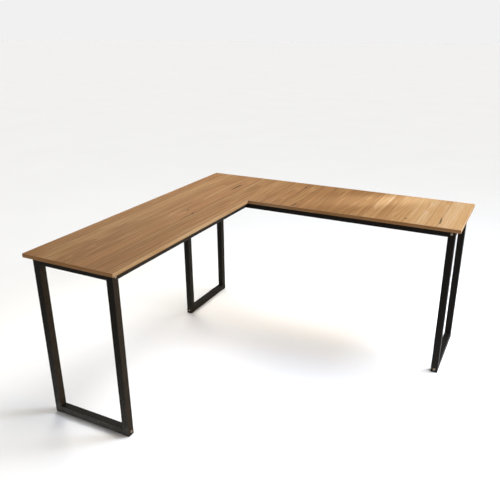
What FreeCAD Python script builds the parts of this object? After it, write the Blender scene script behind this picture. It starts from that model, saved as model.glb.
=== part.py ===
import FreeCAD, Part
import os
import Sketcher

# L-shaped corner desk: one board on three closed leg frames and four long rails,
# all cut from the same square steel tube.
#
# Frame: +Z up, and the floor is Z = 0. The origin is on the floor, at the middle of the
# square that the L fits in. The right wing runs along X at the back (+Y), the left wing
# runs along Y on the -X side, and the person sits in the open corner, towards +X and -Y.

document = FreeCAD.newDocument("corner_desk")

# ---------------------------------------------------------------- dimensions, in millimetres

SIZES = [
    ("desk_width", 1500.0, "overall, along the right wing"),
    ("desk_depth", 1500.0, "overall, along the left wing"),
    ("left_wing_width", 450.0, "across the left wing"),
    ("right_wing_width", 450.0, "across the right wing"),
    ("desk_height", 750.0, "floor to the top of the board"),
    ("board_thickness", 16.0, "decor-faced board"),
    ("edging_thickness", 2.0, "plastic edging on each edge of the board"),
    ("edging_arris_radius", 1.0, "long outer edges of the edging"),
    ("edging_corner_land", 0.1, "flat left beside the rounded corner of a covering strip"),
    ("tube_side", 32.0, "outside of the square tube"),
    ("tube_wall", 1.5, "wall of the square tube"),
    ("tube_corner_radius", 2.0, "outside corners of the square tube"),
    ("tube_inside_radius", 0.5, "inside corners of the square tube"),
    ("frame_inset", 25.0, "edge of the board to the outer faces of the tubes"),
    ("foot_head_thickness", 1.0, "head of the plug, under the end of the upright"),
    ("foot_body_length", 10.0, "body of the plug, inside the upright"),
    ("foot_body_wall", 2.0, "wall of the plug's hollow body"),
    ("plug_clearance", 0.2, "between a plug and the inside of the tube, each side"),
    ("plug_edge_radius", 1.0, "long edges of a plug"),
    ("bolt_diameter", 6.0, "frame bolt"),
    ("bolt_length", 50.0, "frame bolt, under the head"),
    ("bolt_head_diameter", 12.0, "flat head"),
    ("bolt_head_height", 2.6, "flat head"),
    ("bolt_head_rounding", 1.2, "rim of the flat head"),
    ("bolt_socket_width", 4.0, "hexagon socket, across the flats"),
    ("bolt_socket_depth", 2.0, "hexagon socket"),
    ("bolt_clearance", 0.5, "hole in the upright, over the bolt's diameter"),
    ("insert_length", 20.0, "threaded plug in the end of a frame rail"),
    ("insert_bore_clearance", 0.2, "bore of the insert, over the bolt's diameter"),
    ("bracket_leg", 50.0, "angle bracket"),
    ("bracket_height", 26.0, "angle bracket, up the tube"),
    ("bracket_thickness", 3.0, "angle bracket"),
    ("bracket_bend_radius", 2.5, "inside of the bend"),
    ("bracket_near_hole", 28.0, "corner to the first hole in a leg"),
    ("bracket_far_hole", 42.0, "corner to the second hole in a leg"),
    ("bracket_screw_diameter", 4.8, "bracket screw"),
    ("bracket_screw_length", 13.0, "bracket screw, under the head"),
    ("bracket_screw_clearance", 0.6, "hole in the bracket, over the screw's diameter"),
    ("board_screw_diameter", 4.5, "screw up through a rail into the board"),
    ("board_screw_bite", 12.0, "length of that screw in the board"),
    ("board_screw_clearance", 0.5, "hole in the tube, over the screw's diameter"),
    ("board_screw_margin", 90.0, "end of a long rail to its first board screw"),
    ("board_hole_extra_depth", 1.0, "hole in the board, beyond the screw's tip"),
    ("pilot_clearance", 0.2, "pilot hole, over the screw's diameter"),
    ("pan_head_diameter", 9.0, "head of both kinds of screw"),
    ("pan_head_height", 2.6, "head of both kinds of screw"),
    ("pan_head_rounding", 1.2, "rim of the pan head"),
    ("recess_width", 1.2, "arm of the cross recess"),
    ("recess_span", 5.0, "cross recess, tip to tip"),
    ("recess_depth", 1.5, "cross recess"),
]

# Planes, centre lines and lengths that several pieces share.
LAYOUT = [
    ("left_edge", "-Sizes.desk_width / 2"),
    ("right_edge", "Sizes.desk_width / 2"),
    ("front_edge", "-Sizes.desk_depth / 2"),
    ("back_edge", "Sizes.desk_depth / 2"),
    ("inner_edge_x", "left_edge + Sizes.left_wing_width"),
    ("inner_edge_y", "back_edge - Sizes.right_wing_width"),
    ("board_underside", "Sizes.desk_height - Sizes.board_thickness"),
    ("half_tube", "Sizes.tube_side / 2"),
    ("tube_line_inset", "Sizes.frame_inset + half_tube"),
    ("left_outer_x", "left_edge + tube_line_inset"),
    ("left_inner_x", "inner_edge_x - tube_line_inset"),
    ("right_end_x", "right_edge - tube_line_inset"),
    ("left_front_y", "front_edge + tube_line_inset"),
    ("right_front_y", "inner_edge_y + tube_line_inset"),
    ("right_back_y", "back_edge - tube_line_inset"),
    ("rail_underside", "board_underside - Sizes.tube_side"),
    ("top_rail_z", "board_underside - half_tube"),
    ("bottom_rail_z", "Sizes.foot_head_thickness + half_tube"),
    ("upright_length", "board_underside - Sizes.foot_head_thickness"),
    ("left_frame_span", "left_inner_x - left_outer_x - Sizes.tube_side"),
    ("right_frame_span", "right_back_y - right_front_y - Sizes.tube_side"),
    ("left_wing_span", "right_front_y - left_front_y - Sizes.tube_side"),
    ("right_wing_span", "right_end_x - left_outer_x - Sizes.tube_side"),
    ("board_corner_radius", "Sizes.edging_thickness - Sizes.edging_corner_land"),
    ("plug_side", "Sizes.tube_side - 2 * Sizes.tube_wall - 2 * Sizes.plug_clearance"),
    ("board_screw_length", "Sizes.tube_side + Sizes.board_screw_bite"),
    ("board_screw_hole", "Sizes.board_screw_diameter + Sizes.board_screw_clearance"),
    ("board_screw_pilot", "Sizes.board_screw_diameter + Sizes.pilot_clearance"),
    ("bracket_screw_hole", "Sizes.bracket_screw_diameter + Sizes.bracket_screw_clearance"),
    ("bracket_screw_pilot", "Sizes.bracket_screw_diameter + Sizes.pilot_clearance"),
    ("bolt_hole", "Sizes.bolt_diameter + Sizes.bolt_clearance"),
    ("insert_bore", "Sizes.bolt_diameter + Sizes.insert_bore_clearance"),
]


def fill_sheets():
    """Put the driving sizes in one sheet and what follows from them in another."""
    sizes = document.addObject("Spreadsheet::Sheet", "Sizes")
    for row, (alias, size, note) in enumerate(SIZES, start=1):
        sizes.set(f"A{row}", alias)
        sizes.set(f"B{row}", str(size))
        sizes.set(f"C{row}", note)
        sizes.setAlias(f"B{row}", alias)
    document.recompute()
    layout = document.addObject("Spreadsheet::Sheet", "Layout")
    for row, (alias, formula) in enumerate(LAYOUT, start=1):
        layout.set(f"A{row}", alias)
        layout.set(f"B{row}", "=" + formula)
        layout.setAlias(f"B{row}", alias)
    document.recompute()
    return layout


layout_sheet = fill_sheets()
subparts = []


def value(formula):
    """What a formula comes to now, in millimetres."""
    result = layout_sheet.evalExpression(str(formula))
    return float(getattr(result, "Value", result))


# ---------------------------------------------------------------- headings and placing

UP = FreeCAD.Vector(0, 0, 1)
UPSIDE_DOWN = FreeCAD.Rotation(FreeCAD.Vector(1, 0, 0), 180)
EAST, NORTH, WEST, SOUTH = 0, 90, 180, 270     # +X, +Y, -X and -Y
COMPASS = {EAST: (1, 0), NORTH: (0, 1), WEST: (-1, 0), SOUTH: (0, -1)}


def turned(angle):
    """Rotation about the vertical, in degrees."""
    return FreeCAD.Rotation(UP, angle)


def lying(angle):
    """Rotation that lays a piece's own Z along a heading, with Y up and X to its left."""
    return turned(angle) * FreeCAD.Rotation(FreeCAD.Vector(1, 1, 1), 120)


def ahead(start, heading, distance):
    """The plan point that lies a distance along a heading from a start point."""
    step_x, step_y = COMPASS[heading % 360]
    return (f"{start[0]} + {step_x} * ({distance})", f"{start[1]} + {step_y} * ({distance})")


def place(item, x, y, z, rotation):
    """Put an object at a point given by formulas."""
    item.Placement = FreeCAD.Placement(FreeCAD.Vector(value(x), value(y), value(z)), rotation)
    for axis, formula in (("x", x), ("y", y), ("z", z)):
        item.setExpression(f".Placement.Base.{axis}", str(formula))


# ---------------------------------------------------------------- sketches and features

# How Sketcher numbers the points of a line or circle, and a sketch's own axes and origin.
START, END, CENTRE = 1, 2, 3
X_AXIS, Y_AXIS = -1, -2
ORIGIN = (-1, 1)

COINCIDENT = 0.01      # mm: two ends this close are one point
SMALLEST_CUT = 0.1     # mm3: less than this is a cut that missed


def new_body(name):
    """A PartDesign body under the sub-part's own name."""
    body = document.addObject("PartDesign::Body", name)
    body.Label = name
    return body


def new_sketch(body, name, plane_role):
    """A sketch on one of the body's own origin planes."""
    sketch = body.newObject("Sketcher::SketchObject", f"{body.Name}_{name}")
    plane = [part for part in body.Origin.OriginFeatures if part.Role == plane_role][0]
    sketch.AttachmentSupport = [(plane, "")]
    sketch.MapMode = "FlatFace"
    return sketch


def pin_point(sketch, geometry, point, x, y):
    """Tie a point of the sketch to the origin by two bound distances."""
    for kind, formula, axis in (("DistanceX", x, Y_AXIS), ("DistanceY", y, X_AXIS)):
        if str(formula) == "0":
            sketch.addConstraint(Sketcher.Constraint("PointOnObject", geometry, point, axis))
            continue
        distance = Sketcher.Constraint(kind, *ORIGIN, geometry, point, value(formula))
        index = sketch.addConstraint(distance)
        sketch.setExpression(f"Constraints[{index}]", str(formula))


def draw_outline(sketch, corners):
    """A closed outline of straight lines, with each corner given by two formulas."""
    points = [FreeCAD.Vector(value(x), value(y), 0) for x, y in corners]
    lines = [sketch.addGeometry(Part.LineSegment(here, there), False)
             for here, there in zip(points, points[1:] + points[:1])]
    for here, there in zip(lines, lines[1:] + lines[:1]):
        sketch.addConstraint(Sketcher.Constraint("Coincident", here, END, there, START))
    for line, (x, y) in zip(lines, corners):
        pin_point(sketch, line, START, x, y)


def draw_square(sketch, side):
    """A square about the origin."""
    plus = f"({side}) / 2"
    minus = f"-({side}) / 2"
    draw_outline(sketch, [(minus, minus), (plus, minus), (plus, plus), (minus, plus)])


def draw_circle(sketch, diameter, x="0", y="0"):
    """A circle with a bound diameter and centre."""
    centre = FreeCAD.Vector(value(x), value(y), 0)
    circle = sketch.addGeometry(Part.Circle(centre, UP, value(diameter) / 2), False)
    index = sketch.addConstraint(Sketcher.Constraint("Diameter", circle, value(diameter)))
    sketch.setExpression(f"Constraints[{index}]", str(diameter))
    pin_point(sketch, circle, CENTRE, x, y)


def pad(body, sketch, length, down=False, centred=False):
    """Pad a sketch up, down or both ways from its plane."""
    feature = body.newObject("PartDesign::Pad", f"{sketch.Name}_pad")
    feature.Profile = sketch
    feature.setExpression("Length", str(length))
    feature.Reversed = down
    if centred:
        feature.SideType = "Symmetric"
    document.recompute()
    return feature


def cut(body, sketch, depth=None, ahead_of_plane=False, both_ways=False):
    """Pocket a sketch: behind its plane, ahead of it, or both ways; right through
    where no depth is given."""
    feature = body.newObject("PartDesign::Pocket", f"{sketch.Name}_cut")
    feature.Profile = sketch
    feature.Reversed = ahead_of_plane
    if both_ways:
        feature.SideType = "Symmetric"
    if depth is None:
        feature.Type = "ThroughAll"
    else:
        feature.setExpression("Length", str(depth))
    document.recompute()
    return feature


def round_edges(body, name, radius, wanted):
    """Fillet the edges of the body's tip that a test on their two ends picks out."""
    base = body.Tip
    names = []
    for number, edge in enumerate(base.Shape.Edges, start=1):
        ends = [vertex.Point for vertex in edge.Vertexes]
        if wanted(ends[0], ends[-1]):
            names.append(f"Edge{number}")
    fillet = body.newObject("PartDesign::Fillet", f"{body.Name}_{name}")
    fillet.Base = (base, names)
    fillet.setExpression("Radius", str(radius))
    document.recompute()
    return fillet


def close(first, second):
    return abs(first - second) < COINCIDENT


def upright_edge_at(half_size):
    """Test for edges along Z whose X and Y are both half_size from the axis."""
    def wanted(start, end):
        along_z = close(start.x, end.x) and close(start.y, end.y)
        return along_z and close(abs(start.x), half_size) and close(abs(start.y), half_size)
    return wanted


def upright_edge_on(x, y):
    """Test for the edge along Z through one point of the plan."""
    def wanted(start, end):
        along_z = close(start.x, end.x) and close(start.y, end.y)
        return along_z and close(start.x, x) and close(start.y, y)
    return wanted


def circle_at_height(height):
    """Test for a full circle at one height, which starts where it ends."""
    def wanted(start, end):
        return close(start.z, height) and (start - end).Length < COINCIDENT
    return wanted


# ---------------------------------------------------------------- square tubes

NEAR_HOLE = "Sizes.bracket_near_hole"
FAR_HOLE = "Sizes.bracket_far_hole"


def bracket_holes(span):
    """Places of the bracket screws along a rail that spans between two corners."""
    return [NEAR_HOLE, FAR_HOLE, f"{span} - {FAR_HOLE}", f"{span} - {NEAR_HOLE}"]


def spaced_screws(length, count):
    """Places of the board screws along a long rail: even steps between the margins."""
    margin = "Sizes.board_screw_margin"
    return [f"{margin} + ({length} - 2 * {margin}) * {step} / {count - 1}"
            for step in range(count)]


def drill_up(body, places):
    """Board-screw holes through both walls, along the tube's own Y."""
    sketch = new_sketch(body, "board_screw_holes", "XZ_Plane")
    for z in places:
        draw_circle(sketch, "Layout.board_screw_hole", "0", z)
    cut(body, sketch, both_ways=True)


def drill_side(body, places, side):
    """Bracket-screw pilot holes through one wall: side 1 is +X of the tube, -1 is -X."""
    name = "left_pilot_holes" if side > 0 else "right_pilot_holes"
    sketch = new_sketch(body, name, "YZ_Plane")
    for z in places:
        draw_circle(sketch, "Layout.bracket_screw_pilot", "0", z)
    cut(body, sketch, "Sizes.tube_side", ahead_of_plane=side > 0)


def drill_for_bolts(body, places):
    """Bolt holes through both walls, along the tube's own X."""
    sketch = new_sketch(body, "bolt_holes", "YZ_Plane")
    for z in places:
        draw_circle(sketch, "Layout.bolt_hole", "0", z)
    cut(body, sketch, both_ways=True)


def make_tube(name, length):
    """A square tube along its own Z, from 0 to its length."""
    body = new_body(name)
    section = new_sketch(body, "section", "XY_Plane")
    draw_square(section, "Sizes.tube_side")
    draw_square(section, "Sizes.tube_side - 2 * Sizes.tube_wall")
    pad(body, section, length)
    half_outside = value("Layout.half_tube")
    half_inside = half_outside - value("Sizes.tube_wall")
    round_edges(body, "corners", "Sizes.tube_corner_radius", upright_edge_at(half_outside))
    round_edges(body, "inside", "Sizes.tube_inside_radius", upright_edge_at(half_inside))
    subparts.append(body)
    return body


def make_upright(name, x, y, bolt_heading):
    """A tube that stands on its foot plug, drilled across for the frame bolts."""
    body = make_tube(name, "Layout.upright_length")
    drill_for_bolts(body, ["Layout.bottom_rail_z - Sizes.foot_head_thickness",
                           "Layout.top_rail_z - Sizes.foot_head_thickness"])
    place(body, x, y, "Sizes.foot_head_thickness", turned(bolt_heading))


def make_rail(name, start, heading, z, length, board_screws=(), pilots=()):
    """A tube that lies along a heading. pilots: (side, places) for the brackets."""
    body = make_tube(name, length)
    if board_screws:
        drill_up(body, board_screws)
        for distance in board_screws:
            board_screw_points.append(ahead(start, heading, distance))
    for side, places in pilots:
        drill_side(body, places, side)
    place(body, start[0], start[1], z, lying(heading))


# ---------------------------------------------------------------- leg frames and long rails

LEFT, RIGHT = 1, -1
LEFT_WING_SCREWS, RIGHT_WING_SCREWS = 3, 4     # board screws in each long rail
TOP_Z = "Layout.top_rail_z"
BOTTOM_Z = "Layout.bottom_rail_z"
TUBE = "Sizes.tube_side"
HALF = "Layout.half_tube"
LEFT_SPAN = "Layout.left_frame_span"
RIGHT_SPAN = "Layout.right_frame_span"
LEFT_LENGTH = "Layout.left_wing_span"
RIGHT_LENGTH = "Layout.right_wing_span"

# Plan points where uprights stand.
LEFT_OUTER = ("Layout.left_outer_x", "Layout.left_front_y")
LEFT_INNER = ("Layout.left_inner_x", "Layout.left_front_y")
CORNER_FRONT = ("Layout.left_outer_x", "Layout.right_front_y")
CORNER_BACK = ("Layout.left_outer_x", "Layout.right_back_y")
RIGHT_FRONT = ("Layout.right_end_x", "Layout.right_front_y")
RIGHT_BACK = ("Layout.right_end_x", "Layout.right_back_y")
# Plan point where the left wing's inner rail meets the right wing's front rail.
INNER_MEETING = ("Layout.left_inner_x", "Layout.right_front_y")

# name, first upright, second upright, heading from first to second, span, bracket side
FRAMES = [
    ("left_frame", ("outer", LEFT_OUTER), ("inner", LEFT_INNER), EAST, LEFT_SPAN, LEFT),
    ("corner_frame", ("front", CORNER_FRONT), ("back", CORNER_BACK), NORTH, RIGHT_SPAN, RIGHT),
    ("right_frame", ("front", RIGHT_FRONT), ("back", RIGHT_BACK), NORTH, RIGHT_SPAN, LEFT),
]

board_screw_points = []


def make_frame(name, first, second, heading, span, bracket_side):
    """Two uprights, with a top and a bottom rail bolted between them."""
    for side, point in (first, second):
        make_upright(f"{name}_{side}_upright", point[0], point[1], heading)
    start = ahead(first[1], heading, HALF)
    make_rail(f"{name}_top_rail", start, heading, TOP_Z, span,
              board_screws=[f"{span} / 2"], pilots=[(bracket_side, bracket_holes(span))])
    make_rail(f"{name}_bottom_rail", start, heading, BOTTOM_Z, span)


def make_long_rails():
    """The rails along both wings. The right front rail also carries the left wing."""
    for name, point, bracket_side in (("left_outer_rail", LEFT_OUTER, RIGHT),
                                      ("left_inner_rail", LEFT_INNER, LEFT)):
        make_rail(name, ahead(point, NORTH, HALF), NORTH, TOP_Z, LEFT_LENGTH,
                  board_screws=spaced_screws(LEFT_LENGTH, LEFT_WING_SCREWS),
                  pilots=[(bracket_side, bracket_holes(LEFT_LENGTH))])
    for name, point, pilots in (
            ("right_back_rail", CORNER_BACK, [(RIGHT, bracket_holes(RIGHT_LENGTH))]),
            ("right_front_rail", CORNER_FRONT, [(LEFT, bracket_holes(RIGHT_LENGTH)),
                                                (RIGHT, bracket_holes(LEFT_SPAN))])):
        make_rail(name, ahead(point, EAST, HALF), EAST, TOP_Z, RIGHT_LENGTH,
                  board_screws=spaced_screws(RIGHT_LENGTH, RIGHT_WING_SCREWS), pilots=pilots)


# ---------------------------------------------------------------- feet

def make_foot(name, point):
    """A plastic plug: a thin head on the floor and a hollow body up inside the tube."""
    body = new_body(name)
    head = new_sketch(body, "head", "XY_Plane")
    draw_square(head, TUBE)
    pad(body, head, "Sizes.foot_head_thickness")
    round_edges(body, "head_corners", "Sizes.tube_corner_radius",
                upright_edge_at(value(HALF)))
    shank = new_sketch(body, "shank", "XY_Plane")
    draw_square(shank, "Layout.plug_side")
    pad(body, shank, "Sizes.foot_head_thickness + Sizes.foot_body_length")
    round_edges(body, "shank_edges", "Sizes.plug_edge_radius",
                upright_edge_at(value("Layout.plug_side") / 2))
    hollow = new_sketch(body, "hollow", "XY_Plane")
    hollow.setExpression("AttachmentOffset.Base.z", "Sizes.foot_head_thickness")
    draw_square(hollow, "Layout.plug_side - 2 * Sizes.foot_body_wall")
    cut(body, hollow, ahead_of_plane=True)
    place(body, point[0], point[1], "0", turned(EAST))
    subparts.append(body)


def make_feet():
    """A foot under each upright, named after its frame and side."""
    for name, (first_side, first), (second_side, second), *_ in FRAMES:
        prefix = name.replace("_frame", "")
        make_foot(f"{prefix}_{first_side}_foot", first)
        make_foot(f"{prefix}_{second_side}_foot", second)


# ---------------------------------------------------------------- angle brackets

BRACKET = "Sizes.bracket_thickness"

# name, plan point that the corner is measured from, direction of its two legs
BRACKETS = [
    ("left_frame_outer_bracket", LEFT_OUTER, (1, 1)),
    ("left_frame_inner_bracket", LEFT_INNER, (-1, 1)),
    ("corner_frame_front_bracket", CORNER_FRONT, (1, 1)),
    ("corner_frame_back_bracket", CORNER_BACK, (1, -1)),
    ("right_frame_front_bracket", RIGHT_FRONT, (-1, 1)),
    ("right_frame_back_bracket", RIGHT_BACK, (-1, -1)),
    ("left_wing_outer_bracket", CORNER_FRONT, (1, -1)),
    ("left_wing_inner_bracket", INNER_MEETING, (-1, -1)),
]
QUADRANT_TURN = {(1, 1): 0, (-1, 1): 90, (-1, -1): 180, (1, -1): 270}


def bracket_corner(point, quadrant):
    """Where the faces of the two tubes meet, half a tube from both centre lines."""
    return (f"{point[0]} + {quadrant[0]} * {HALF}", f"{point[1]} + {quadrant[1]} * {HALF}")


def make_bracket(name, point, quadrant):
    """A bent strip with two holes in each leg. Its legs lie along its own +X and +Y."""
    body = new_body(name)
    leg = "Sizes.bracket_leg"
    strip = new_sketch(body, "strip", "XY_Plane")
    draw_outline(strip, [("0", "0"), (leg, "0"), (leg, BRACKET), (BRACKET, BRACKET),
                         (BRACKET, leg), ("0", leg)])
    pad(body, strip, "Sizes.bracket_height", centred=True)
    thickness = value(BRACKET)
    round_edges(body, "bend_inside", "Sizes.bracket_bend_radius",
                upright_edge_on(thickness, thickness))
    round_edges(body, "bend_outside", f"Sizes.bracket_bend_radius + {BRACKET}",
                upright_edge_on(0, 0))
    for plane_role, past_plane in (("XZ_Plane", False), ("YZ_Plane", True)):
        holes = new_sketch(body, plane_role[:2].lower() + "_holes", plane_role)
        for distance in (NEAR_HOLE, FAR_HOLE):
            draw_circle(holes, "Layout.bracket_screw_hole", distance, "0")
        cut(body, holes, ahead_of_plane=past_plane)
    corner = bracket_corner(point, quadrant)
    place(body, corner[0], corner[1], TOP_Z, turned(QUADRANT_TURN[quadrant]))
    subparts.append(body)


# ---------------------------------------------------------------- fasteners

def make_fastener(name, diameter, length, head_diameter, head_height, rounding):
    """A round-headed fastener: head above its own Z = 0, shank below it."""
    body = new_body(name)
    shank = new_sketch(body, "shank", "XY_Plane")
    draw_circle(shank, diameter)
    pad(body, shank, length, down=True)
    head = new_sketch(body, "head", "XY_Plane")
    draw_circle(head, head_diameter)
    pad(body, head, head_height)
    round_edges(body, "rim", rounding, circle_at_height(value(head_height)))
    return body


def sink_into_head(body, head_height, depth, corners):
    """Cut a driver recess into the top of the head."""
    recess = new_sketch(body, "recess", "XY_Plane")
    recess.setExpression("AttachmentOffset.Base.z", head_height)
    draw_outline(recess, corners)
    cut(body, recess, depth)


def hexagon(width):
    """Corners of a hexagon, given its width across the flats."""
    return [(f"{width} / (2 * cos(30)) * cos({angle})", f"{width} / (2 * cos(30)) * sin({angle})")
            for angle in (30, 90, 150, 210, 270, 330)]


def cross(width, span):
    """Corners of a cross recess."""
    near = f"{width} / 2"
    far = f"{span} / 2"
    quarter = [(far, f"-{near}"), (far, near), (near, near)]
    corners = []
    for _ in range(4):
        corners += quarter
        quarter = [(f"-({y})", x) for x, y in quarter]
    return corners


def make_frame_bolt():
    """A frame bolt with a flat rounded head and a hexagon socket."""
    body = make_fastener("frame_bolt_pattern", "Sizes.bolt_diameter", "Sizes.bolt_length",
                         "Sizes.bolt_head_diameter", "Sizes.bolt_head_height",
                         "Sizes.bolt_head_rounding")
    sink_into_head(body, "Sizes.bolt_head_height", "Sizes.bolt_socket_depth",
                   hexagon("Sizes.bolt_socket_width"))
    return body


def make_screw(name, diameter, length):
    """A pan-headed screw with a cross recess."""
    body = make_fastener(name, diameter, length, "Sizes.pan_head_diameter",
                         "Sizes.pan_head_height", "Sizes.pan_head_rounding")
    sink_into_head(body, "Sizes.pan_head_height", "Sizes.recess_depth",
                   cross("Sizes.recess_width", "Sizes.recess_span"))
    return body


def make_insert():
    """A square threaded plug, from its own Z = 0 into the tube."""
    body = new_body("rail_insert_pattern")
    block = new_sketch(body, "block", "XY_Plane")
    draw_square(block, "Layout.plug_side")
    draw_circle(block, "Layout.insert_bore")
    pad(body, block, "Sizes.insert_length")
    round_edges(body, "edges", "Sizes.plug_edge_radius",
                upright_edge_at(value("Layout.plug_side") / 2))
    return body


def copies(name, pattern, places):
    """One node of identical pieces: a linked copy of the pattern at each place."""
    links = []
    for number, (x, y, z, rotation) in enumerate(places, start=1):
        link = document.addObject("App::Link", f"{name}_{number}")
        link.LinkedObject = pattern
        place(link, x, y, z, rotation)
        links.append(link)
    group = document.addObject("Part::Compound", name)
    group.Label = name
    group.Links = links
    subparts.append(group)


def frame_joints():
    """Each end of each frame rail: the upright's outer face, the rail's end, the heading
    into the frame and the height."""
    for _, (_, first), (_, second), heading, _, _ in FRAMES:
        for point, inward in ((first, heading), (second, heading + 180)):
            outer_face = ahead(point, inward + 180, HALF)
            rail_end = ahead(point, inward, HALF)
            for z in (BOTTOM_Z, TOP_Z):
                yield outer_face, rail_end, inward, z


def make_frame_fasteners():
    """A bolt and a threaded insert at each end of each frame rail."""
    joints = list(frame_joints())
    copies("frame_bolts", make_frame_bolt(),
           [(face[0], face[1], z, lying(inward + 180)) for face, _, inward, z in joints])
    copies("rail_inserts", make_insert(),
           [(end[0], end[1], z, lying(inward)) for _, end, inward, z in joints])


def make_bracket_screws():
    """Two screws through each leg of each bracket."""
    pattern = make_screw("bracket_screw_pattern", "Sizes.bracket_screw_diameter",
                         "Sizes.bracket_screw_length")
    places = []
    for _, point, (side_x, side_y) in BRACKETS:
        x, y = bracket_corner(point, (side_x, side_y))
        face_y = f"{y} + {side_y} * {BRACKET}"
        face_x = f"{x} + {side_x} * {BRACKET}"
        head_y = NORTH if side_y > 0 else SOUTH
        head_x = EAST if side_x > 0 else WEST
        for hole in (NEAR_HOLE, FAR_HOLE):
            places.append((f"{x} + {side_x} * {hole}", face_y, TOP_Z, lying(head_y)))
            places.append((face_x, f"{y} + {side_y} * {hole}", TOP_Z, lying(head_x)))
    copies("bracket_screws", pattern, places)


def make_board_screws():
    """A screw up through each hole that the rails carry for the board."""
    pattern = make_screw("board_screw_pattern", "Sizes.board_screw_diameter",
                         "Layout.board_screw_length")
    copies("board_screws", pattern, [(x, y, "Layout.rail_underside", UPSIDE_DOWN)
                                     for x, y in board_screw_points])


# ---------------------------------------------------------------- board and edging

EDGING = "Sizes.edging_thickness"


def make_board():
    """The L-shaped board inside its edging, with blind holes from below."""
    body = new_body("worktop_board")
    left = f"Layout.left_edge + {EDGING}"
    right = f"Layout.right_edge - {EDGING}"
    front = f"Layout.front_edge + {EDGING}"
    back = f"Layout.back_edge - {EDGING}"
    inner_x = f"Layout.inner_edge_x - {EDGING}"
    inner_y = f"Layout.inner_edge_y + {EDGING}"
    outline = new_sketch(body, "outline", "XY_Plane")
    draw_outline(outline, [(left, front), (inner_x, front), (inner_x, inner_y),
                           (right, inner_y), (right, back), (left, back)])
    pad(body, outline, "Sizes.board_thickness")
    holes = new_sketch(body, "screw_holes", "XY_Plane")
    for x, y in board_screw_points:
        draw_circle(holes, "Layout.board_screw_pilot", x, y)
    cut(body, holes, "Sizes.board_screw_bite + Sizes.board_hole_extra_depth",
        ahead_of_plane=True)
    place(body, "0", "0", "Layout.board_underside", turned(EAST))
    subparts.append(body)


def outer_long_edge(start, end):
    """Test for the long edges on a strip's outer face, which is its own Y = 0."""
    along_x = close(start.y, end.y) and close(start.z, end.z)
    return along_x and close(start.y, 0) and abs(start.x - end.x) > value(EDGING)


def make_edging(name, start, heading, length, round_start, round_end):
    """A strip along its own +X, with its outer face at Y = 0, on its left."""
    body = new_body(name)
    plan = new_sketch(body, "plan", "XY_Plane")
    inside = f"-{EDGING}"
    draw_outline(plan, [("0", "0"), ("0", inside), (length, inside), (length, "0")])
    pad(body, plan, "Sizes.board_thickness")
    if round_start:
        round_edges(body, "start_corner", "Layout.board_corner_radius", upright_edge_on(0, 0))
    if round_end:
        round_edges(body, "end_corner", "Layout.board_corner_radius",
                    upright_edge_on(value(length), 0))
    round_edges(body, "arrises", "Sizes.edging_arris_radius", outer_long_edge)
    place(body, start[0], start[1], "Layout.board_underside", turned(heading))
    subparts.append(body)


def make_all_edging():
    """Strips on the left, inner left and right edges cover the ends of the others."""
    left = "Layout.left_edge"
    right = "Layout.right_edge"
    front = "Layout.front_edge"
    back = "Layout.back_edge"
    inner_x = "Layout.inner_edge_x"
    inner_y = "Layout.inner_edge_y"
    make_edging("left_outer_edging", (left, front), NORTH, "Sizes.desk_depth", True, True)
    make_edging("back_edging", (f"{left} + {EDGING}", back), EAST,
                f"Sizes.desk_width - 2 * {EDGING}", False, False)
    make_edging("right_end_edging", (right, back), SOUTH, "Sizes.right_wing_width", True, True)
    make_edging("right_front_edging", (f"{right} - {EDGING}", inner_y), WEST,
                f"{right} - {EDGING} - {inner_x}", False, False)
    make_edging("left_inner_edging", (inner_x, f"{inner_y} + {EDGING}"), SOUTH,
                f"{inner_y} + {EDGING} - {front}", False, True)
    make_edging("left_front_edging", (f"{inner_x} - {EDGING}", front), WEST,
                f"Sizes.left_wing_width - 2 * {EDGING}", False, False)


# ---------------------------------------------------------------- checking and writing

def check_document():
    """Every object recomputed, every cut took something away, every sub-part is sound."""
    document.recompute()
    for item in document.Objects:
        if "Invalid" in item.State or "Error" in item.State:
            raise RuntimeError(f"{item.Name} did not recompute: {item.State}")
        if item.TypeId == "PartDesign::Pocket":
            if item.BaseFeature.Shape.Volume - item.Shape.Volume < SMALLEST_CUT:
                raise RuntimeError(f"{item.Name} cuts nothing")
    for subpart in subparts:
        if subpart.Shape.isNull() or not subpart.Shape.isValid():
            raise RuntimeError(f"{subpart.Label} has no valid shape")


def write_parts():
    """One STEP file for each sub-part, under its label."""
    os.makedirs("parts", exist_ok=True)
    for subpart in subparts:
        subpart.Shape.exportStep(f"parts/{subpart.Label}.step")
        size = subpart.Shape.BoundBox
        print(f"{subpart.Label}: {len(subpart.Shape.Solids)} solid(s), "
              f"{size.XLength:.1f} x {size.YLength:.1f} x {size.ZLength:.1f} mm, "
              f"{subpart.Shape.Volume / 1000:.2f} cm3")
    print(f"{len(subparts)} sub-parts")


for frame in FRAMES:
    make_frame(*frame)
make_long_rails()
make_feet()
for bracket in BRACKETS:
    make_bracket(*bracket)
make_frame_fasteners()
make_bracket_screws()
make_board_screws()
make_board()
make_all_edging()
check_document()
write_parts()
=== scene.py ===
import math

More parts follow.
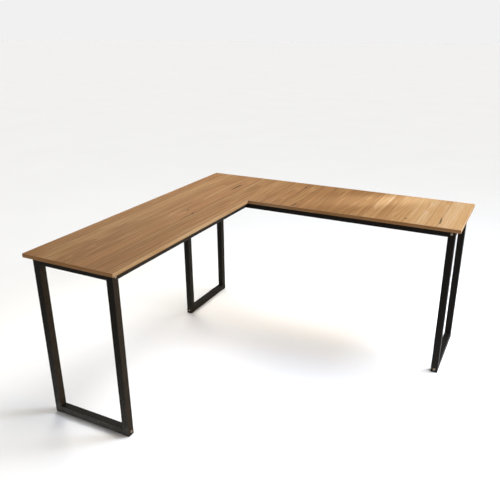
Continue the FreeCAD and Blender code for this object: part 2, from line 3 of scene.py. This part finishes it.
import bpy
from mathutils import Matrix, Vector


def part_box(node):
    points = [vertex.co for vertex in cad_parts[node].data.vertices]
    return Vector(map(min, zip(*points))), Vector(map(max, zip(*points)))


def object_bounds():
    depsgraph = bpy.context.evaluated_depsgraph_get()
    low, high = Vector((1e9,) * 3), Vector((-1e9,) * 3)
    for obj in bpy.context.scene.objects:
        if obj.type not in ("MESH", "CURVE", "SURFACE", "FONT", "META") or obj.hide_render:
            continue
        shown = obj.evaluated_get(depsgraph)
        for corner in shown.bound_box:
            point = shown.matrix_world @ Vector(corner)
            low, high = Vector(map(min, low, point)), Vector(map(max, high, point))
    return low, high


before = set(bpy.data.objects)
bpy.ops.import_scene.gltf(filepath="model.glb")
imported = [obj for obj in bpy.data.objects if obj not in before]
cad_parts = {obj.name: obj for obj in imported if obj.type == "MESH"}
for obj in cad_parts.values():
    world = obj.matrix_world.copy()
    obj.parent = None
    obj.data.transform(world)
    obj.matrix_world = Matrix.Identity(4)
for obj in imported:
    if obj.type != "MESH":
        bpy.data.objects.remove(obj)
CAD_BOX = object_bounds()

# L-shaped corner desk: a plank-decor board on three black tube frames. Lengths are metres in
# the CAD frame: +Z up, the floor at Z = 0, the open corner towards +X and -Y.
MM = 0.001


# ---------------------------------------------------------------- building materials

MIDDLE = 0.5     # the value that noise lies about

# Sockets of the Mix node by number, because those for numbers and for colours share names.
MIX_SHARE = 0
MIX_FIRST_NUMBER, MIX_SECOND_NUMBER, MIX_NUMBER_OUT = 2, 3, 0
MIX_FIRST_COLOUR, MIX_SECOND_COLOUR, MIX_COLOUR_OUT = 6, 7, 2


class Nodes:
    """A node tree in the making, with a short call for each kind of node it uses."""

    def __init__(self, tree, coordinates):
        self.tree = tree
        self.place = self.node("TexCoord", {}).outputs[coordinates]
        self.x, self.y, self.z = self.node("SeparateXYZ", {"Vector": self.place}).outputs

    def fill(self, node, key, given):
        """Join a socket to an input, or set the input to a number, colour or direction."""
        socket = node.inputs[key]
        if isinstance(given, bpy.types.NodeSocket):
            self.tree.links.new(given, socket)
        elif socket.type == "RGBA":
            socket.default_value = (*given, 1.0)
        else:
            socket.default_value = given

    def node(self, kind, inputs, **options):
        """Add a node, set its options, then fill its inputs."""
        made = self.tree.nodes.new("ShaderNode" + kind)
        for key, option in options.items():
            setattr(made, key, option)
        for key, given in inputs.items():
            self.fill(made, key, given)
        return made

    def maths(self, operation, first, second=0.0):
        """The result of a sum on one or two values."""
        return self.node("Math", {0: first, 1: second}, operation=operation).outputs[0]

    def point(self, x, y, z):
        """A place with its X, Y and Z given apart."""
        return self.node("CombineXYZ", {"X": x, "Y": y, "Z": z}).outputs[0]

    def noise(self, point, scale=1.0, detail=2.0, roughness=0.5):
        """Cloudy noise about MIDDLE, with a scale in clouds per metre."""
        inputs = {"Vector": point, "Scale": scale, "Detail": detail, "Roughness": roughness}
        return self.node("TexNoise", inputs).outputs["Fac"]

    def spread(self, value, low, high, to_low=0.0, to_high=1.0):
        """Map a value from one range to another, with soft ends, and stop at the ends."""
        inputs = {"Value": value, "From Min": low, "From Max": high,
                  "To Min": to_low, "To Max": to_high}
        made = self.node("MapRange", inputs, interpolation_type="SMOOTHSTEP")
        return made.outputs["Result"]

    def ramp(self, value, stops, steps=False):
        """A colour for each value, from (place, (red, green, blue)) stops."""
        made = self.node("ValToRGB", {"Fac": value})
        band = made.color_ramp
        band.interpolation = "CONSTANT" if steps else "LINEAR"
        while len(band.elements) < len(stops):
            band.elements.new(1.0)
        for element, (place, colour) in zip(band.elements, stops):
            element.position = place
            element.color = (*colour, 1.0)
        return made.outputs["Color"]

    def mix(self, share, first, second):
        """The first colour, with a share of the second one over it."""
        inputs = {MIX_SHARE: share, MIX_FIRST_COLOUR: first, MIX_SECOND_COLOUR: second}
        return self.node("Mix", inputs, data_type="RGBA").outputs[MIX_COLOUR_OUT]

    def total(self, *terms):
        """MIDDLE and the sum of value * weight, with each value counted from MIDDLE."""
        result = MIDDLE
        for value, weight in terms:
            centred = self.maths("SUBTRACT", value, MIDDLE)
            weighted = self.maths("MULTIPLY", centred, weight)
            result = self.maths("ADD", weighted, result)
        return result


class Finish(Nodes):
    """A material that is textured by place in the CAD frame."""

    def __init__(self, name):
        self.material = bpy.data.materials.new(name)
        self.material.use_nodes = True
        self.shader = self.material.node_tree.nodes["Principled BSDF"]
        super().__init__(self.material.node_tree, "Object")

    def facing(self):
        """The X, Y and Z parts of the direction that the surface faces."""
        normal = self.node("NewGeometry", {}).outputs["Normal"]
        return self.node("SeparateXYZ", {"Vector": normal}).outputs

    def rounded_corners(self):
        """1 on the rounded corners of a square section, 0 on its flat faces: the largest part
        of the direction is 1 on a face and 0.7 halfway round a corner."""
        squareness = 0.0
        for part in self.facing():
            squareness = self.maths("MAXIMUM", self.maths("ABSOLUTE", part), squareness)
        return self.spread(squareness, 0.80, 0.99, to_low=1.0, to_high=0.0)

    def stretched_noise(self, x, slice_at, across, along, **look):
        """Noise over the board with one scale across the grain and one along it, along Y."""
        place = self.point(self.maths("MULTIPLY", x, across),
                           self.maths("MULTIPLY", self.y, along), slice_at)
        return self.noise(place, **look)

    def finish(self, colour, roughness, height=None, depth=0.0, **numbers):
        """Join the colour, roughness and surface relief, and set the plain numbers."""
        self.fill(self.shader, "Base Color", colour)
        self.fill(self.shader, "Roughness", roughness)
        if height is not None:
            relief = self.node("Bump", {"Height": height, "Strength": 1.0, "Distance": depth})
            self.fill(self.shader, "Normal", relief.outputs["Normal"])
        for key, number in numbers.items():
            self.shader.inputs[key.replace("_", " ")].default_value = number
        return self.material


# ---------------------------------------------------------------- wood decor

# Planks of the decor across the desk, from the left edge: where each starts in millimetres,
# how pale it is and how red, from 0 to 1.
PLANKS = [
    (0, 0.42, 0.35), (62, 0.62, 0.00), (118, 0.52, 0.10), (168, 0.42, 0.35), (212, 0.50, 0.20),
    (250, 0.42, 0.55), (322, 0.58, 0.05), (345, 0.46, 0.20), (362, 0.40, 0.55), (414, 0.54, 0.10),
    (492, 0.42, 0.40), (526, 0.50, 0.10), (574, 0.36, 0.35), (622, 0.44, 0.05), (692, 0.30, 0.45),
    (772, 0.38, 0.20), (806, 0.32, 0.10), (862, 0.24, 0.15), (980, 0.38, 0.05), (1046, 0.55, 0.00),
    (1112, 0.51, 0.15), (1152, 0.60, 0.05), (1236, 0.64, 0.00), (1296, 0.70, 0.00),
    (1336, 0.66, 0.10), (1392, 0.76, 0.00), (1452, 0.72, 0.00),
]

# Dark splits and knots in the decor: middle in millimetres, half width, half length, and how
# far the split leans over its length.
SPLITS = [
    ((-476, 508), 6.5, 62, 0.03),
    ((-131, 670), 4.4, 26, -0.20),
    ((-60, 337), 4.2, 38, 0.08),
    ((493, 365), 4.6, 11, -0.15),
    ((645, 398), 3.8, 52, -0.07),
    ((-481, 22), 3.2, 17, -0.20),
    ((-433, -12), 3.2, 15, -0.35),
    ((-535, -300), 3.0, 7, 0.0),
]
SPLIT_STRAY = 9 * MM             # how far a split's edge strays from a plain oval
SPLIT_FADE = (0.75, 1.2)         # where its dark starts to fade and ends, in half sizes

# Noises of the grain: clouds per metre across the grain and along it, and the detail.
BROAD = (26.0, 0.9, 2.0)
STREAKS = (150.0, 1.8, 4.0)
FIBRES = (560.0, 7.0, 3.0)
PORES = (1500.0, 34.0, 1.0)
RINGS = (11.0, 0.55, 1.5)
RING_COUNT = 15.0                # growth rings from the lowest to the highest of that noise
PORE_RANGE = (0.60, 0.72)        # the part of a noise that makes open pores
GRAIN_BEND = 14 * MM             # how far the grain drifts to a side
SEED_SPAN = 57.0                 # how far apart the planks' slices of the noise lie, in all
JOINT_WIDTH = 2.4 * MM           # the dark line between two planks

# The same noises on the edging, in finer lines.
EDGING_STREAKS = (210.0, 2.4, 3.0)
EDGING_FIBRES = (756.0, 12.0, 2.0)
EDGING_PORES = (1680.0, 38.4, 1.0)

WOOD_TONES = [
    (0.10, (0.100, 0.043, 0.012)),
    (0.40, (0.206, 0.099, 0.033)),
    (0.56, (0.265, 0.149, 0.060)),
    (0.66, (0.314, 0.205, 0.109)),
    (0.90, (0.375, 0.268, 0.156)),
]
WOOD_RED = (0.270, 0.120, 0.048)
SPLIT_BROWN = (0.026, 0.012, 0.006)


def planks_at(finish, across):
    """Paleness, redness and a seed of the plank at a place across the desk."""
    width = CAD_BOX[1].x - CAD_BOX[0].x
    from_left = finish.maths("SUBTRACT", across, CAD_BOX[0].x)
    share = finish.maths("DIVIDE", from_left, width)
    stops = []
    for number, (start, pale, red) in enumerate(PLANKS):
        stops.append((start * MM / width, (pale, red, number / len(PLANKS))))
    return finish.node("SeparateColor", {"Color": finish.ramp(share, stops, steps=True)}).outputs


def split_mask(finish, middle, half_width, half_length, lean, ragged):
    """1 inside a dark split that runs along the grain, 0 outside it."""
    along = finish.maths("SUBTRACT", finish.y, middle[1] * MM)
    across = finish.maths("SUBTRACT", finish.x, middle[0] * MM)
    across = finish.maths("SUBTRACT", across, finish.maths("MULTIPLY", along, lean))
    across = finish.maths("ADD", across, finish.maths("MULTIPLY", ragged, SPLIT_STRAY))
    place = finish.point(finish.maths("DIVIDE", across, half_width * MM),
                         finish.maths("DIVIDE", along, half_length * MM), 0.0)
    distance = finish.node("VectorMath", {0: place}, operation="LENGTH").outputs["Value"]
    return finish.spread(distance, *SPLIT_FADE, to_low=1.0, to_high=0.0)


def dark_splits(finish):
    """Up to 1 in the dark splits and knots, which crumbs of the paler wood break up."""
    wander = finish.stretched_noise(finish.x, 0.0, across=40.0, along=150.0, detail=3.0)
    ragged = finish.maths("SUBTRACT", wander, MIDDLE)
    splits = 0.0
    for middle, half_width, half_length, lean in SPLITS:
        mask = split_mask(finish, middle, half_width, half_length, lean, ragged)
        splits = finish.maths("MAXIMUM", mask, splits)
    crumbs = finish.noise(finish.place, scale=90.0)
    broken = finish.spread(crumbs, 0.36, 0.52, to_low=0.60, to_high=1.0)
    return finish.maths("MULTIPLY", splits, broken)


def plank_joints(finish, pale, red):
    """Up to 1 in the line between two planks: the more they differ, the darker it is."""
    next_pale, next_red, _ = planks_at(finish, finish.maths("ADD", finish.x, JOINT_WIDTH))
    pale_step = finish.maths("ABSOLUTE", finish.maths("SUBTRACT", next_pale, pale))
    red_step = finish.maths("ABSOLUTE", finish.maths("SUBTRACT", next_red, red))
    return finish.spread(finish.maths("ADD", pale_step, red_step), 0.0, 0.3)


def plank_grain(finish, seed):
    """The five noises of the grain, bent a little, with a slice of its own for each plank."""
    slice_at = finish.maths("MULTIPLY", seed, SEED_SPAN)
    drift = finish.stretched_noise(finish.x, slice_at, across=9.0, along=1.7)
    bent = finish.maths("ADD", finish.x, finish.maths("MULTIPLY", drift, GRAIN_BEND))
    return [finish.stretched_noise(bent, slice_at, across, along, detail=detail, roughness=0.55)
            for across, along, detail in (BROAD, STREAKS, FIBRES, PORES, RINGS)]


def wood_decor():
    """Plank decor with the grain along Y: planks, streaks, fibres, pores and dark splits."""
    finish = Finish("wood_decor")
    pale, red, seed = planks_at(finish, finish.x)
    broad, streaks, fibres, pits, growth = plank_grain(finish, seed)
    pores = finish.spread(pits, *PORE_RANGE)
    rings = finish.maths("FRACT", finish.maths("MULTIPLY", growth, RING_COUNT))
    late_wood = finish.maths("MULTIPLY", finish.spread(rings, 0.0, 0.75),
                             finish.spread(rings, 1.0, 0.9))
    joints = plank_joints(finish, pale, red)
    splits = dark_splits(finish)

    figure = finish.total((streaks, 0.40), (fibres, 0.62))
    figure = finish.maths("SUBTRACT", figure, finish.maths("MULTIPLY", late_wood, 0.12))
    strength = finish.spread(pale, 0.44, 0.72, to_low=1.0, to_high=0.55)
    tone = finish.total((pale, 0.50), (broad, 0.22), (figure, strength))
    colour = finish.ramp(tone, WOOD_TONES)

    patches = finish.stretched_noise(finish.x, 3.0, across=7.0, along=1.3)
    reddened = finish.spread(patches, 0.3, 0.7, to_low=0.15, to_high=0.55)
    colour = finish.mix(finish.maths("MULTIPLY", red, reddened), colour, WOOD_RED)
    for dark, share in ((pores, 0.30), (joints, 0.75), (splits, 0.95)):
        colour = finish.mix(finish.maths("MULTIPLY", dark, share), colour, SPLIT_BROWN)

    roughness = finish.spread(streaks, 0.25, 0.75, to_low=0.50, to_high=0.62)
    dips = finish.maths("MAXIMUM", finish.maths("MAXIMUM", pores, joints), splits)
    height = finish.maths("SUBTRACT", finish.maths("MULTIPLY", fibres, 0.35), dips)
    return finish.finish(colour, roughness, height, depth=0.05 * MM, Specular_IOR_Level=0.03)


def edging(name, along_x, pale, red):
    """Wood-look edging: the tones of the decor in finer lines, along the strip."""
    finish = Finish(name)

    def lines(across, along, detail):
        place = finish.point(finish.maths("MULTIPLY", finish.x, along if along_x else across),
                             finish.maths("MULTIPLY", finish.y, across if along_x else along),
                             finish.maths("MULTIPLY", finish.z, across))
        return finish.noise(place, detail=detail, roughness=0.6)

    streaks = lines(*EDGING_STREAKS)
    fibres = lines(*EDGING_FIBRES)
    pores = finish.spread(lines(*EDGING_PORES), *PORE_RANGE)
    slow = finish.noise(finish.place, scale=3.0)
    tone = finish.total((streaks, 0.70), (fibres, 0.35), (slow, 0.5), (pale, 1.0))
    colour = finish.mix(red, finish.ramp(tone, WOOD_TONES), WOOD_RED)
    colour = finish.mix(finish.maths("MULTIPLY", pores, 0.25), colour, SPLIT_BROWN)
    # Paler arrises on the strip's rounded corners: partly wear, partly a painted highlight where
    # the edges catch the light.
    worn_highlight_patches = finish.spread(slow, 0.35, 0.6, to_low=0.1, to_high=0.5)
    worn_highlight = finish.maths("MULTIPLY", finish.rounded_corners(), worn_highlight_patches)
    palest = WOOD_TONES[-1][1]
    colour = finish.mix(worn_highlight, colour, palest)
    roughness = finish.spread(streaks, 0.3, 0.7, to_low=0.42, to_high=0.52)
    height = finish.maths("SUBTRACT", finish.maths("MULTIPLY", fibres, 0.4), pores)
    return finish.finish(colour, roughness, height, depth=0.04 * MM, Specular_IOR_Level=0.03)


# ---------------------------------------------------------------- steel and plastic

# Each finish goes from its first colour to its second one in small clouds.
STEEL_TONES = [(0.2, (0.0050, 0.0042, 0.0031)), (0.8, (0.0115, 0.0094, 0.0068))]
FOOT_BLACKS = ((0.010, 0.010, 0.010), (0.018, 0.018, 0.017))
INSERT_BLACKS = ((0.022, 0.022, 0.022), (0.040, 0.040, 0.038))
BOLT_NICKEL = ((0.19, 0.138, 0.098), (0.38, 0.30, 0.235))
SCREW_ZINC = ((0.42, 0.43, 0.45), (0.72, 0.73, 0.76))

# What is painted over the powder coat: light from the floor, warm light from the right, and paler
# corners.
STEEL_FLOOR_LIT = (0.104, 0.100, 0.090)
STEEL_WARM_LIT = (0.044, 0.028, 0.015)
STEEL_WORN_HIGHLIGHT = (0.034, 0.031, 0.027)
TURNED_ENOUGH = (0.3, 0.9)       # from where a side starts to face a way to where it fully does


def painted_light_reach(finish, clouds, mottle):
    """How strong the painted light on the steel is, in patches: most at the front left, least at
    the back right.
    """
    from_right = finish.spread(finish.x, CAD_BOX[0].x, CAD_BOX[1].x, to_low=1.0, to_high=0.4)
    from_back = finish.spread(finish.y, CAD_BOX[0].y, CAD_BOX[1].y, to_low=1.0, to_high=0.25)
    patches = finish.total((clouds, 0.8), (mottle, 2.0))
    uneven = finish.spread(patches, 0.1, 0.9, to_low=0.30, to_high=1.1)
    return finish.maths("MULTIPLY", finish.maths("MULTIPLY", from_right, from_back), uneven)


def near_floor(finish):
    """How much painted light from the floor the steel gets: 1 by the floor, falling fast over the
    first hand's width and then slowly to 0.
    """
    slow = finish.spread(finish.z, -0.25, 0.55, to_low=0.75, to_high=0.0)
    fast = finish.spread(finish.z, 0.02, 0.09, to_low=1.0, to_high=0.0)
    return finish.maths("MAXIMUM", slow, fast)


def powder_coat(name, pebble):
    """Fine-textured black powder coat: cloudy, paler on its corners from wear and a painted
    highlight, with painted warm light on the sides that face right and painted grey light from the
    floor low down on the sides that face front."""
    finish = Finish(name)
    grit = finish.noise(finish.place, scale=pebble, detail=3.0, roughness=0.6)
    clouds = finish.noise(finish.place, scale=9.0, detail=4.0, roughness=0.6)
    mottle = finish.noise(finish.place, scale=150.0, detail=4.0, roughness=0.75)
    colour = finish.ramp(finish.total((clouds, 0.5), (grit, 0.4), (mottle, 0.8)), STEEL_TONES)

    facing = finish.facing()
    front_sides = finish.spread(finish.maths("MULTIPLY", facing["Y"], -1.0), *TURNED_ENOUGH)
    right_sides = finish.spread(facing["X"], *TURNED_ENOUGH)
    light_share = painted_light_reach(finish, clouds, mottle)
    # Painted warm light, in patches, on the sides that face right.
    painted_warm_light = finish.maths("MULTIPLY", finish.maths("MULTIPLY", right_sides, light_share), 0.5)
    colour = finish.mix(painted_warm_light, colour, STEEL_WARM_LIT)

    # Painted grey light from the floor, low down on the sides that face front.
    low_front_sides = finish.maths("MULTIPLY", near_floor(finish), front_sides)
    painted_floor_light = finish.maths("MULTIPLY", low_front_sides, light_share)
    colour = finish.mix(painted_floor_light, colour, STEEL_FLOOR_LIT)

    # Paler corners: partly wear, partly a painted highlight.
    worn_highlight_patches = finish.spread(clouds, 0.4, 0.65, to_low=0.15, to_high=0.6)
    worn_highlight = finish.maths("MULTIPLY", finish.rounded_corners(), worn_highlight_patches)
    colour = finish.mix(worn_highlight, colour, STEEL_WORN_HIGHLIGHT)
    wear = finish.total((clouds, 0.6), (painted_floor_light, 0.4), (worn_highlight, -0.6))
    roughness = finish.spread(wear, 0.2, 0.9, to_low=0.42, to_high=0.62)
    return finish.finish(colour, roughness, grit, depth=0.06 * MM, Specular_IOR_Level=0.05)


def moulded_plastic(name, colours):
    """Matt moulded plastic with a fine grained skin."""
    finish = Finish(name)
    skin = finish.noise(finish.place, scale=1400.0)
    clouds = finish.noise(finish.place, scale=60.0, detail=3.0)
    colour = finish.ramp(clouds, list(zip((0.3, 0.7), colours)))
    roughness = finish.spread(clouds, 0.3, 0.7, to_low=0.50, to_high=0.65)
    return finish.finish(colour, roughness, skin, depth=0.03 * MM, Specular_IOR_Level=0.3)


def plated_steel(name, colours, mark_scale):
    """Plated fastener steel: tool marks, small stains and a soft shine."""
    finish = Finish(name)
    marks = finish.noise(finish.place, scale=mark_scale, detail=3.0, roughness=0.65)
    stains = finish.noise(finish.place, scale=220.0, detail=4.0, roughness=0.6)
    tone = finish.total((stains, 0.9), (marks, 0.4))
    colour = finish.ramp(tone, list(zip((0.25, 0.75), colours)))
    wear = finish.total((marks, 0.8), (stains, 0.5))
    roughness = finish.spread(wear, 0.2, 0.8, to_low=0.22, to_high=0.42)
    return finish.finish(colour, roughness, marks, depth=0.02 * MM, Metallic=1.0)


# ---------------------------------------------------------------- dressing the CAD nodes

def dress(names, material):
    """Give CAD nodes a material in place of the plain one that they came with."""
    for name in names:
        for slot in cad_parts[name].material_slots:
            slot.material = material


def nodes_ending(*endings):
    return [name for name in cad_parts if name.endswith(endings)]


def runs_along_x(name):
    low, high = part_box(name)
    return high.x - low.x > high.y - low.y


def dress_all():
    strips = nodes_ending("_edging")
    along_x = [name for name in strips if runs_along_x(name)]
    along_y = [name for name in strips if not runs_along_x(name)]
    dress(["worktop_board"], wood_decor())
    # Two copies of one edging: the strips along X are darker and redder as painted shade on the
    # faces that face front, and the strips along Y are paler as painted light from the right.
    dress(along_x, edging("edging_along_x_painted_shade", along_x=True, pale=0.57, red=0.50))
    dress(along_y, edging("edging_along_y_painted_light", along_x=False, pale=0.62, red=0.0))
    dress(nodes_ending("_upright", "_rail"), powder_coat("black_steel", pebble=1100.0))
    dress(nodes_ending("_bracket"), powder_coat("black_bracket_steel", pebble=1500.0))
    dress(nodes_ending("_foot"), moulded_plastic("black_plastic", FOOT_BLACKS))
    dress(["rail_inserts"], moulded_plastic("insert_plastic", INSERT_BLACKS))
    dress(["frame_bolts"], plated_steel("bolt_steel", BOLT_NICKEL, mark_scale=900.0))
    dress(["bracket_screws", "board_screws"],
          plated_steel("screw_steel", SCREW_ZINC, mark_scale=1200.0))


# ---------------------------------------------------------------- floor, light and camera

FLOOR_HALF_SIZE = 60.0
FLOOR_GAP = 0.2 * MM
FLOOR_COLOURS = [(0.3, (0.915, 0.915, 0.91)), (0.7, (0.93, 0.93, 0.925))]

SKY_BRIGHT_SIDE = (0.45, 0.75, 0.50)     # the way to the brightest part of the sky
SKY_DIM, SKY_BRIGHT, HORIZON_BRIGHT = 0.16, 0.46, 0.88
HORIZON_BAND = (0.04, 0.22)              # heights over which the horizon's glow fades

BEAM_FROM_END = 0.46                     # from the desk's right end to the beam's patch of light

CAMERA_PLACE = (1.016, -2.206, 1.572)
CAMERA_HEADING = 26.39                   # degrees, anticlockwise from +Y
CAMERA_TILT = -21.95                     # degrees, upwards from level
LENS = 41.3                              # millimetres, on the 36 mm sensor
CAMERA_SHIFT = (-0.0210, 0.0165)


def make_floor():
    """A plain pale floor. From below it is clear, so that the underside can be looked at."""
    z = CAD_BOX[0].z - FLOOR_GAP
    corners = [(x * FLOOR_HALF_SIZE, y * FLOOR_HALF_SIZE, z)
               for x, y in ((-1, -1), (1, -1), (1, 1), (-1, 1))]
    mesh = bpy.data.meshes.new("floor")
    mesh.from_pydata(corners, [], [(0, 1, 2, 3)])
    floor = bpy.data.objects.new("floor", mesh)
    bpy.context.scene.collection.objects.link(floor)
    finish = Finish("floor")
    cloud = finish.noise(finish.place, scale=1.5, detail=3.0)
    colour = finish.ramp(cloud, FLOOR_COLOURS)
    finish.finish(colour, roughness=0.9, Specular_IOR_Level=0.0)
    back = finish.node("NewGeometry", {}).outputs["Backfacing"]
    clear = finish.node("BsdfTransparent", {}).outputs["BSDF"]
    shades = {"Fac": back, 1: finish.shader.outputs["BSDF"], 2: clear}
    both = finish.node("MixShader", shades)
    finish.fill(finish.tree.nodes["Material Output"], "Surface", both.outputs["Shader"])
    mesh.materials.append(finish.material)


def aim(item, target):
    """Turn a light so that it shines at a point."""
    item.rotation_euler = (target - item.location).to_track_quat("-Z", "Y").to_euler()


def make_light(name, kind, place, target, energy, colour, **settings):
    """Add a light that shines from one place at another."""
    light = bpy.data.lights.new(name, kind)
    light.energy = energy
    light.color = colour
    for key, setting in settings.items():
        setattr(light, key, setting)
    item = bpy.data.objects.new(name, light)
    item.location = place
    bpy.context.scene.collection.objects.link(item)
    aim(item, target)


def make_surroundings():
    """Soft studio surroundings: bright at the horizon, and dimmer towards the front."""
    world = bpy.data.worlds.new("studio")
    world.use_nodes = True
    bpy.context.scene.world = world
    sky = Nodes(world.node_tree, "Generated")
    towards = sky.node("VectorMath", {0: sky.place, 1: SKY_BRIGHT_SIDE}, operation="DOT_PRODUCT")
    dome = sky.spread(towards.outputs["Value"], -0.7, 0.9, SKY_DIM, SKY_BRIGHT)
    glow = sky.spread(sky.z, *HORIZON_BAND, to_low=1.0, to_high=0.0)
    levels = {MIX_SHARE: glow, MIX_FIRST_NUMBER: dome, MIX_SECOND_NUMBER: HORIZON_BRIGHT}
    strength = sky.node("Mix", levels, data_type="FLOAT").outputs[MIX_NUMBER_OUT]
    background = world.node_tree.nodes["Background"]
    sky.fill(background, "Color", (1.0, 1.0, 1.0))
    sky.fill(background, "Strength", strength)


def make_lighting():
    """A wide sun overhead, a window behind, a softbox over the right end, a warm lamp beyond
    it and a low beam that lies across the right wing."""
    middle = (CAD_BOX[0] + CAD_BOX[1]) / 2
    right, back, top = CAD_BOX[1]
    front_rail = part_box("right_front_rail")[0].y
    wing_middle = Vector((middle.x, (front_rail + back) / 2, top))
    right_end = Vector((right, wing_middle.y, top))
    make_light("overhead", "SUN", middle + Vector((1.1, 1.4, 3.0)), middle,
               energy=2.15, colour=(1.0, 0.99, 0.97), angle=math.radians(40.0))
    by_corner = Vector((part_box("left_inner_rail")[0].x - 0.2, wing_middle.y - 0.1, top))
    make_light("window", "AREA", by_corner + Vector((-1.2, 1.1, 1.4)), by_corner,
               energy=9.0, colour=(1.0, 0.96, 0.88), shape="RECTANGLE", size=2.0, size_y=1.0,
               spread=math.radians(60.0))
    make_light("softbox", "AREA", right_end + Vector((0.35, 0.0, 1.0)), right_end,
               energy=25.5, colour=(0.87, 1.02, 1.28), shape="RECTANGLE", size=0.7, size_y=0.7)
    make_light("lamp", "AREA", right_end + Vector((4.0, -0.2, 0.1)), middle,
               energy=10.0, colour=(1.0, 0.75, 0.50), shape="RECTANGLE", size=1.0, size_y=1.0,
               spread=math.radians(50.0))
    patch = Vector((right - BEAM_FROM_END, wing_middle.y + 0.06, top))
    make_light("beam", "SPOT", patch + Vector((2.1, 1.3, 0.9)), patch,
               energy=1150.0, colour=(0.80, 1.06, 1.60), spot_size=math.radians(5.5),
               spot_blend=0.9, shadow_soft_size=0.05)


def make_camera():
    lens = bpy.data.cameras.new("camera")
    lens.lens = LENS
    lens.shift_x, lens.shift_y = CAMERA_SHIFT
    camera = bpy.data.objects.new("camera", lens)
    camera.location = CAMERA_PLACE
    camera.rotation_euler = (math.radians(90.0 + CAMERA_TILT), 0.0, math.radians(CAMERA_HEADING))
    bpy.context.scene.collection.objects.link(camera)
    bpy.context.scene.camera = camera


bpy.context.scene.view_settings.view_transform = "Standard"
dress_all()
make_floor()
make_surroundings()
make_lighting()
make_camera()
